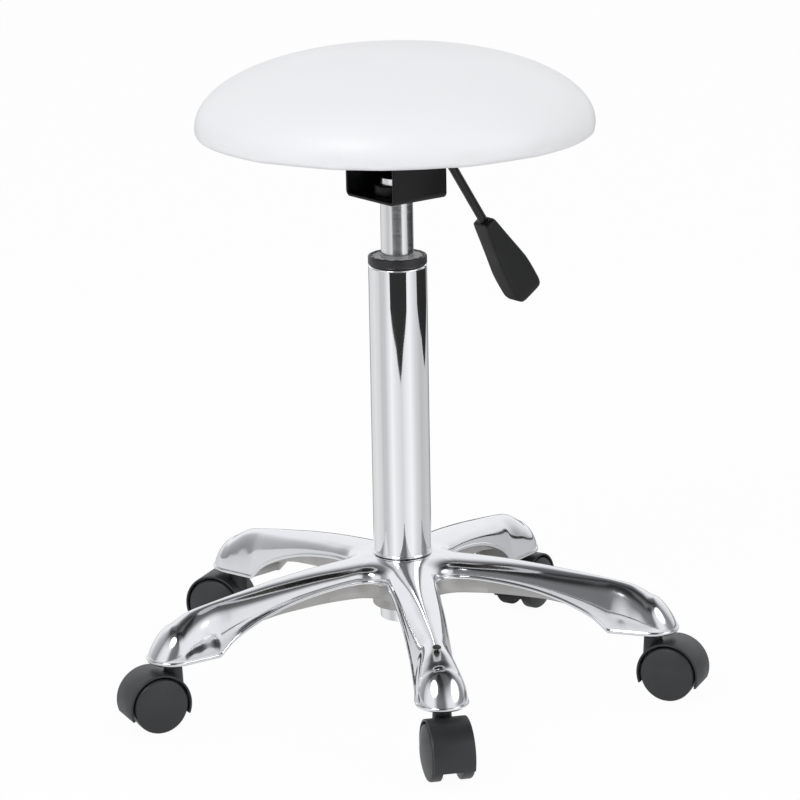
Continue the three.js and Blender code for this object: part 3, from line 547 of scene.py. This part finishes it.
rodLow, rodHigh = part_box("lever_rod")
lever = dict(radius=4.0, inner=-6.0, bend=54.0, bendSize=9.0, drop=57.0, straight=75.0, seat=15.0)
leverZ = rodHigh.z / mm - lever["radius"]


# a circle carried along a path of two straight runs and a bend, in the lever's upright plane
def rodPart(v):
    drop = math.radians(v["drop"])
    direction = np.array([math.cos(drop), -math.sin(drop)])
    reach = v["bendSize"] * math.tan(drop / 2) * 1.3
    corner = np.array([v["bend"], leverZ])
    t = np.linspace(0, 1, 14)[:, None]
    arc = ((1 - t) ** 2 * (corner - [reach, 0]) + 2 * t * (1 - t) * corner
           + t ** 2 * (corner + direction * reach))
    path = np.concatenate([[[v["inner"], leverZ]], [[v["inner"] + 0.4, leverZ]], [[20.0, leverZ]], arc,
                           [corner + direction * (v["straight"] + v["seat"])]])
    ahead = np.gradient(path, axis=0)
    ahead /= np.linalg.norm(ahead, axis=1)[:, None]
    angle = np.linspace(0, 2 * np.pi, 32, endpoint=False)
    size = np.full(len(path), v["radius"] - 0.05)
    size[0] -= 0.5
    out = np.stack([-ahead[:, 1], ahead[:, 0]], 1)
    points = np.empty((len(path), 32, 3))
    points[..., 0] = path[:, :1] + out[:, :1] * size[:, None] * np.cos(angle)
    points[..., 2] = path[:, 1:] + out[:, 1:] * size[:, None] * np.cos(angle)
    points[..., 1] = size[:, None] * np.sin(angle)
    return gridPart(points, caps=True)


makePiece("leverRod", [rodPart(lever)], "lever", ["lever_rod"], spin=carrierTurn,
          materials=[glossPaint])
paddleWidth = [(0, 4.6), (0.8, 5.6), (3, 6.1), (20, 9.1), (44, 13.2), (54, 14.6), (64, 15.0), (76, 14.9),
               (81.5, 13.9),
               (84.5, 12.0), (86.2, 9.5)]
paddleShift = [(0, 0), (44, 0.2), (76, 0.0), (86.2, 0.6)]
paddleDepth = [(0, 8.2), (0.8, 9.6), (3, 10.4), (30, 10.4), (54, 11.0), (76, 11.0),
               (82, 10.2), (84.5, 9.0), (86.2, 6.8)]


# rounded-box sections |y/w|^k + |z/h|^k = 1 carried down the paddle, closed at both ends
def paddlePart():
    place = np.concatenate([np.linspace(0, 6, 9), np.linspace(8, 78, 36), np.linspace(79, 86.2, 13)])
    wide, deep, shift = smooth(paddleWidth, place), smooth(paddleDepth, place), smooth(paddleShift, place)
    place = np.concatenate([place[:1], place, place[-1:]])
    shrink = np.concatenate([[0.0], np.ones(len(wide)), [0.0]])
    wide = np.concatenate([wide[:1], wide, wide[-1:]]) * shrink
    deep = np.concatenate([deep[:1], deep, deep[-1:]]) * shrink
    shift = np.concatenate([shift[:1], shift, shift[-1:]])
    angle = np.linspace(0, 2 * np.pi, 64, endpoint=False)
    c, s = np.cos(angle), np.sin(angle)
    power = 2 / 7.0
    y = shift[:, None] + wide[:, None] * np.sign(c) * np.abs(c) ** power
    z = deep[:, None] * np.sign(s) * np.abs(s) ** power
    drop = math.radians(lever["drop"])
    down = np.array([math.cos(drop), 0, -math.sin(drop)])
    over = np.array([math.sin(drop), 0, math.cos(drop)])
    start = np.array([lever["bend"], 0, leverZ]) + down * lever["straight"]
    side = np.array([0, -1.0, 0])
    points = (start + place[:, None, None] * down + y[..., None] * over + z[..., None] * side)
    return gridPart(points)


makePiece("leverPaddle", [paddlePart()], "lever", ["lever_paddle"], spin=carrierTurn,
          materials=[gripBlack])
print("carrier and lever made")

# cushion: a tight dome, swelled a little by cloth pressure over its pinned hem
coverLow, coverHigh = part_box("seat_cover")
cushion = dict(radius=(coverHigh.x - coverLow.x) / 2 / mm, top=coverHigh.z / mm, low=coverLow.z / mm,
               drop=7.5, tuck=13.0, hem=126.0, crown=2.1, rim=3.2, shrink=1.2,
               pleats=60, cap=2.2, frames=14, pressure=2.2)
# waves round the rim: (how many, height, phase)
ripples = [(11, 0.35, 0.7), (17, 0.3, 2.1), (29, 0.2, 0.0)]


# dome profile: a superellipse quarter above the widest line, a tight rounding below, then the flat hem
def cushionPart(c):
    equator = c["low"] + c["drop"]
    quarter = np.linspace(0, np.pi / 2, 44)
    r = (c["radius"] - c["shrink"]) * np.sin(quarter) ** (2 / c["crown"])
    z = equator + (c["top"] - equator - c["shrink"]) * np.cos(quarter) ** (2 / c["crown"])
    small = np.linspace(0, np.pi / 2, 11)[1:]
    r = np.concatenate([r, c["radius"] - c["tuck"] - c["shrink"] + c["tuck"] * np.cos(small) ** (2 / c["rim"])])
    z = np.concatenate([z, equator - (c["drop"] - c["shrink"]) * np.sin(small) ** (2 / c["rim"])])
    inward = np.linspace(c["radius"] - c["tuck"] - 6, c["hem"], 6)
    r = np.concatenate([r, inward, [c["hem"], c["hem"] + 20]])
    z = np.concatenate([z, np.full(6, c["low"] + c["shrink"]), [c["low"] + 2.6, c["low"] + 2.6]])
    angle = np.linspace(0, 2 * np.pi, 168, endpoint=False)
    near = np.clip((r - 120) / 45, 0, 1) * np.exp(-((z - equator + 2) / 9.0) ** 2)
    ripple = sum(size * np.sin(count * angle + phase) for count, size, phase in ripples)
    hemPleat = 0.5 * np.sin(c["pleats"] * angle)
    under = ((z < c["low"] + 2) & (r < 154)).astype(float)
    radius = r[:, None] + near[:, None] * ripple[None]
    height = z[:, None] + near[:, None] * 0.8 * ripple[None] - under[:, None] * 0.35 * np.abs(hemPleat[None])
    height = np.maximum(height, c["low"] + 0.1)
    points = np.stack([radius * np.cos(angle), radius * np.sin(angle),
                       np.broadcast_to(height, radius.shape)], -1)
    return gridPart(points)


def swell(piece, c):
    mesh = piece.data
    start = np.empty(len(mesh.vertices) * 3)
    mesh.vertices.foreach_get("co", start)
    start = start.reshape(-1, 3)
    pins = piece.vertex_groups.new(name="hem")
    held = np.flatnonzero(start[:, 2] < (c["low"] + 3.4) * mm)
    pins.add(held.tolist(), 1.0, "REPLACE")
    cloth = piece.modifiers.new("coverCloth", "CLOTH")
    cloth.settings.vertex_group_mass = "hem"
    cloth.settings.use_pressure = True
    cloth.settings.uniform_pressure_force = c["pressure"]
    cloth.settings.effector_weights.gravity = 0
    cloth.settings.quality = 5
    cloth.settings.mass = 0.4
    cloth.settings.tension_stiffness = 60
    cloth.settings.compression_stiffness = 60
    cloth.point_cache.frame_start = 1
    cloth.point_cache.frame_end = c["frames"]
    for step in range(1, c["frames"] + 1):
        scene.frame_set(step)
    depsgraph = bpy.context.evaluated_depsgraph_get()
    moved = np.empty(len(mesh.vertices) * 3)
    piece.evaluated_get(depsgraph).data.vertices.foreach_get("co", moved)
    shift = moved.reshape(-1, 3) - start
    size = np.linalg.norm(shift, axis=1)[:, None]
    cap = c["cap"] * mm
    shift *= np.where(size > 1e-9, cap * np.tanh(size / cap) / np.maximum(size, 1e-9), 0)
    piece.modifiers.remove(cloth)
    piece.vertex_groups.clear()
    mesh.vertices.foreach_set("co", (start + shift).ravel())
    mesh.update()
    scene.frame_set(1)
    print("cushion swelled by up to %.1f mm" % (float(np.linalg.norm(shift, axis=1).max()) / mm))


cover = makePiece("seatCover", [cushionPart(cushion)], "seat", ["seat_cover", "seat_foam"],
                  sharp=60, materials=[whiteVinyl])
swell(cover, cushion)
softer = cover.modifiers.new("smoothCover", "SUBSURF")
softer.levels = 1
softer.render_levels = 1

boardLow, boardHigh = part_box("seat_board")
boardRadius = 155.7
boardOutline = rounded([(0, boardLow.z / mm), (boardRadius, boardLow.z / mm),
                        (boardRadius, boardHigh.z / mm), (0, boardHigh.z / mm)], 0.8, loop=False)
makePiece("seatBoard", [turnedPart(boardOutline, 128)], "seat", ["seat_board"],
          materials=[plywood])

staple = dict(count=72, ring=132.0, length=10.0, wire=0.6)


# flattened wire staples in a ring on the hem, each a small bar lying across the radius
def staplePart(s):
    angle = np.linspace(0, 2 * np.pi, s["count"], endpoint=False) + 0.02
    corners = np.array([[-1, -1], [1, -1], [1, 1], [-1, 1]]) * s["wire"] / 2
    ends = np.array([-1, 1]) * s["length"] / 2
    level = cushion["low"] - 0.1
    lean = angle + 0.12 * np.sin(angle * 7)
    along = np.stack([-np.sin(lean), np.cos(lean)], 1)
    out = np.stack([np.cos(lean), np.sin(lean)], 1)
    centre = s["ring"] * np.stack([np.cos(angle), np.sin(angle)], 1)
    flat = (centre[:, None, None] + ends[None, :, None, None] * along[:, None, None]
            + corners[None, None, :, :1] * out[:, None, None])
    tall = np.broadcast_to(level + corners[None, None, :, 1:], flat.shape[:3] + (1,))
    points = np.concatenate([flat, tall], -1).reshape(-1, 3)
    box = np.array([[0, 1, 5, 4], [1, 2, 6, 5], [2, 3, 7, 6], [3, 0, 4, 7], [3, 2, 1, 0], [4, 5, 6, 7]])
    faces = (box[None] + 8 * np.arange(s["count"])[:, None, None]).reshape(-1, 4)
    return points, faces.tolist()


makePiece("hemStaples", [staplePart(staple)], "seat", materials=[zincSteel])
print("cushion made")

# casters
caster = dict(trail=18.0, wheel=24.0, axle=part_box("caster_axle_1")[0].z / mm + 3.0, hoodOuter=27.6,
              hoodInner=25.7, hoodHalf=17.5, hoodAngle=111.0, web=7.9, core=18.0, neck=6.6)
trailAngles = [-85.35, -30.35, 50.15, 149.15, 197.35]


# a rounded band section swept over the wheel: x = r sin a, z = r cos a about the axle
def hoodPart(c):
    section = rounded([(c["hoodOuter"], -c["hoodHalf"]), (c["hoodOuter"], c["hoodHalf"]),
                       (c["hoodInner"], c["hoodHalf"]), (c["hoodInner"], -c["hoodHalf"])], 0.8)
    angle = np.radians(np.linspace(-c["hoodAngle"], c["hoodAngle"], 64))
    points = np.empty((len(angle), len(section), 3))
    points[..., 0] = c["trail"] + section[:, 0] * np.sin(angle)[:, None]
    points[..., 1] = section[:, 1]
    points[..., 2] = c["axle"] + section[:, 0] * np.cos(angle)[:, None]
    return gridPart(points, caps=True)


# the web between the wheels: radius falls from the hood's to the core's as the angle leaves the top
def webPart(c):
    angle = np.linspace(-np.pi, np.pi, 96, endpoint=False)
    fall = np.clip((np.abs(np.degrees(angle)) - 76) / 22, 0, 1)
    fall = fall * fall * (3 - 2 * fall)
    radius = (c["hoodOuter"] - 0.9) * (1 - fall) + c["core"] * fall
    across = np.array([-c["web"], -c["web"] + 0.6, c["web"] - 0.6, c["web"]])
    inset = np.array([0.6, 0, 0, 0.6])
    r = radius[None] - inset[:, None]
    points = np.stack([c["trail"] + r * np.sin(angle), np.broadcast_to(across[:, None], r.shape),
                       c["axle"] + r * np.cos(angle)], -1)
    return gridPart(points, caps=True)


def neckPart(c):
    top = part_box("caster_housing_1")[1].z / mm
    outline = rounded([(0, c["axle"] + 8), (c["neck"] + 2.2, c["axle"] + 8), (c["neck"] + 1.2, top - 5.5),
                       (c["neck"], top - 3), (c["neck"], top), (0, top)], 0.7, loop=False)
    return turnedPart(outline, 48)


# wheel profile of (radius, distance along the axle) turned about the axle, on either side
def wheelPart(c, sign):
    tread = rounded([(3.4, 8.4), (c["wheel"] - 0.1, 8.4), (c["wheel"] - 0.05, 16.4), (c["wheel"] - 1.0, 17.9),
                     (c["wheel"] - 2.2, 18.3)], 0.9, loop=False)
    dome = np.linspace(1, 0, 16)[1:]
    face = np.column_stack([(c["wheel"] - 2.2) * dome, 18.3 + 3.6 * (1 - dome ** 2)])
    profile = np.concatenate([tread, face, [[0, 19.2], [3.4, 19.2]]])
    profile = np.concatenate([profile, profile[:1]])
    angle = np.linspace(0, 2 * np.pi, 96, endpoint=False) + np.pi / 96
    points = np.empty((len(profile), 96, 3))
    points[..., 0] = c["trail"] + profile[:, :1] * np.sin(angle)
    points[..., 1] = sign * profile[:, 1:]
    points[..., 2] = c["axle"] + profile[:, :1] * np.cos(angle)
    points[..., 2] = np.maximum(points[..., 2], 0)
    return gridPart(points)


for k in range(5):
    n = k + 1
    arm = math.radians(star["firstArm"] + 72 * k)
    place = (star["stem"] * math.cos(arm), star["stem"] * math.sin(arm), 0)
    body = "caster_%d" % n
    makePiece("casterHood%d" % n, [hoodPart(caster), webPart(caster), neckPart(caster)], body,
              ["caster_housing_%d" % n], spin=trailAngles[k], move=place, materials=[casterBlack])
    for side, sign in (("left", 1), ("right", -1)):
        makePiece("%sWheel%d" % (side, n), [wheelPart(caster, sign)], "%s_wheel_%d" % (side, n),
                  ["wheel_%s_%d" % (side, n)], spin=trailAngles[k], move=place, materials=[wheelBlack])
print("casters made")

# pieces carried over from the frame
carried = {"thrust_bearing": zincSteel, "bearing_washer": zincSteel, "rubber_bumper": rubber, "piston_rod": zincSteel,
           "piston": zincSteel, "retaining_clip": zincSteel, "valve_pin": paleAcetal, "seat_foam": foamFill}
for n in range(1, 6):
    carried["grip_sleeve_%d" % n] = blackPlastic
    carried["caster_stem_%d" % n] = zincSteel
    carried["caster_axle_%d" % n] = zincSteel
for name, material in carried.items():
    for holder in nodes[name].material_slots:
        holder.material = material
print("carried pieces dressed")

# floor, light and the pale surroundings
studio = dict(key=34.0, fill=10.0, ambient=0.70, floor=0.86, floorGlow=0.96)

# brightness seen by reflections, by direction in degrees round from the camera, positive to its right
floorBands = [(-178, 0.22), (-160, 0.30), (-148, 0.72), (-110, 0.82), (-76, 0.60), (-58, 0.62), (-32, 1.0),
              (-16, 0.86), (6, 0.74), (24, 0.90), (42, 1.0), (64, 0.74), (92, 0.55), (128, 0.62), (150, 0.50),
              (160, 0.16), (176, 0.14)]
skyBands = [(-176, 1.0), (-140, 1.0), (-118, 0.55), (-84, 0.30), (-62, 0.95), (-34, 1.0), (-18, 0.22),
            (14, 0.18), (30, 0.9), (56, 1.0), (76, 0.35), (104, 0.25), (124, 0.8), (150, 1.0), (178, 1.0)]
skyHeights = [(0.0, 1.0), (0.52, 1.0), (0.66, 0.72), (0.80, 0.20), (1.0, 0.09)]


def makeRamp(tree, source, stops):
    ramp = tree.nodes.new("ShaderNodeValToRGB")
    elements = ramp.color_ramp.elements
    stops = sorted(stops)
    while len(elements) < len(stops):
        elements.new(0.5)
    for element, (place, level) in zip(elements, stops):
        element.position = place
        element.color = (level, level, level * 1.01, 1)
    tree.links.new(source, ramp.inputs["Fac"])
    return ramp.outputs["Color"]


def aroundRamp(tree, source, bands):
    around = tree.nodes.new("ShaderNodeTexGradient")
    around.gradient_type = "RADIAL"
    tree.links.new(source, around.inputs["Vector"])
    turned = sorted((((turn + view["azimuth"] + 90) % 360) / 360, level) for turn, level in bands)
    seam = (turned[0][1] + turned[-1][1]) / 2
    return makeRamp(tree, around.outputs["Fac"], [(0.0, seam)] + turned + [(1.0, seam)])


def makeFloor(s):
    mesh = bpy.data.meshes.new("studioFloor")
    angle = np.linspace(0, 2 * np.pi, 64, endpoint=False)
    rim = np.column_stack([14 * np.cos(angle), 14 * np.sin(angle), np.zeros(64)])
    mesh.from_pydata(rim.tolist(), [], [list(range(64))])
    floor = bpy.data.objects.new("studioFloor", mesh)
    scene.collection.objects.link(floor)
    material = bpy.data.materials.new("studioFloor")
    material.use_nodes = True
    tree = material.node_tree
    tree.nodes.clear()
    out = tree.nodes.new("ShaderNodeOutputMaterial")
    mix = tree.nodes.new("ShaderNodeMixShader")
    matt = tree.nodes.new("ShaderNodeBsdfDiffuse")
    glow = tree.nodes.new("ShaderNodeEmission")
    path = tree.nodes.new("ShaderNodeLightPath")
    share = tree.nodes.new("ShaderNodeMath")
    share.operation = "MULTIPLY_ADD"
    share.inputs[1].default_value = s["floorGlow"]
    matt.inputs["Color"].default_value = (s["floor"], s["floor"], s["floor"], 1)
    place = tree.nodes.new("ShaderNodeTexCoord")
    bands = aroundRamp(tree, place.outputs["Object"], floorBands)
    pick = tree.nodes.new("ShaderNodeMix")
    pick.data_type = "RGBA"
    pick.inputs["A"].default_value = (1, 1, 1, 1)
    tree.links.new(path.outputs["Is Glossy Ray"], pick.inputs["Factor"])
    tree.links.new(bands, pick.inputs["B"])
    tree.links.new(pick.outputs["Result"], glow.inputs["Color"])
    tree.links.new(path.outputs["Is Camera Ray"], share.inputs[0])
    tree.links.new(path.outputs["Is Glossy Ray"], share.inputs[2])
    tree.links.new(share.outputs[0], mix.inputs["Fac"])
    tree.links.new(matt.outputs[0], mix.inputs[1])
    tree.links.new(glow.outputs[0], mix.inputs[2])
    # seen from below the floor is clear, so the underside can be looked at
    below = tree.nodes.new("ShaderNodeMixShader")
    clear = tree.nodes.new("ShaderNodeBsdfTransparent")
    facing = tree.nodes.new("ShaderNodeNewGeometry")
    tree.links.new(facing.outputs["Backfacing"], below.inputs["Fac"])
    tree.links.new(mix.outputs[0], below.inputs[1])
    tree.links.new(clear.outputs[0], below.inputs[2])
    tree.links.new(below.outputs[0], out.inputs["Surface"])
    mesh.materials.append(material)


def makeWorld(s):
    world = bpy.data.worlds.new("paleStudio")
    scene.world = world
    world.use_nodes = True
    tree = world.node_tree
    back = tree.nodes["Background"]
    path = tree.nodes.new("ShaderNodeLightPath")
    place = tree.nodes.new("ShaderNodeTexCoord")
    split = tree.nodes.new("ShaderNodeSeparateXYZ")
    tree.links.new(place.outputs["Generated"], split.inputs[0])
    around = aroundRamp(tree, place.outputs["Generated"], skyBands)
    height = makeRamp(tree, split.outputs["Z"], skyHeights)
    both = tree.nodes.new("ShaderNodeMix")
    both.data_type = "RGBA"
    both.blend_type = "MULTIPLY"
    both.inputs["Factor"].default_value = 1
    tree.links.new(around, both.inputs["A"])
    tree.links.new(height, both.inputs["B"])
    pick = tree.nodes.new("ShaderNodeMix")
    pick.data_type = "RGBA"
    pick.inputs["A"].default_value = (1, 1, 1, 1)
    tree.links.new(path.outputs["Is Glossy Ray"], pick.inputs["Factor"])
    tree.links.new(both.outputs["Result"], pick.inputs["B"])
    tree.links.new(pick.outputs["Result"], back.inputs["Color"])
    seen = tree.nodes.new("ShaderNodeMath")
    seen.operation = "MAXIMUM"
    level = tree.nodes.new("ShaderNodeMapRange")
    level.inputs["To Min"].default_value = s["ambient"]
    level.inputs["To Max"].default_value = 1.0
    tree.links.new(path.outputs["Is Camera Ray"], seen.inputs[0])
    tree.links.new(path.outputs["Is Glossy Ray"], seen.inputs[1])
    tree.links.new(seen.outputs[0], level.inputs["Value"])
    tree.links.new(level.outputs["Result"], back.inputs["Strength"])


def makeLamp(name, place, target, size, power):
    data = bpy.data.lights.new(name, "AREA")
    data.shape = "DISK"
    data.size = size
    data.energy = power
    lamp = bpy.data.objects.new(name, data)
    scene.collection.objects.link(lamp)
    lamp.location = place
    lamp.rotation_euler = (Vector(target) - Vector(place)).to_track_quat("-Z", "Y").to_euler()
    lamp.visible_camera = False


# dark cards lying on the floor that only reflections see; corners are (metres from the column,
# degrees round from the camera)
def makeCard(name, corners, tone=0.03):
    spots = []
    for reach, turn in corners:
        direction = math.radians(turn + view["azimuth"] - 90)
        spots.append((reach * math.cos(direction), axisY + reach * math.sin(direction), 0.002))
    mesh = bpy.data.meshes.new(name)
    mesh.from_pydata(spots, [], [list(range(len(spots)))])
    material = bpy.data.materials.new(name)
    material.use_nodes = True
    shader = material.node_tree.nodes["Principled BSDF"]
    shader.inputs["Base Color"].default_value = (tone, tone, tone, 1)
    shader.inputs["Roughness"].default_value = 1
    shader.inputs["Specular IOR Level"].default_value = 0
    mesh.materials.append(material)
    card = bpy.data.objects.new(name, mesh)
    scene.collection.objects.link(card)
    card.visible_camera = False
    card.visible_diffuse = False
    card.visible_shadow = False


makeFloor(studio)
makeWorld(studio)
makeLamp("keyLamp", (-1.6, -1.9, 2.6), (0, axisY, 0.4), 1.6, studio["key"])
makeLamp("fillLamp", (2.2, -1.2, 1.6), (0, axisY, 0.3), 1.8, studio["fill"])
makeCard("cardFront", [(1.06, 4), (1.22, 17), (1.40, 32), (4, 36), (4, -38), (1.40, -32), (1.22, -12)])
makeCard("cardRight", [(1.10, 119), (1.25, 100), (1.42, 78), (4, 72), (4, 146), (1.42, 144), (1.25, 132)])
scene.view_settings.view_transform = "Standard"
print("studio made")
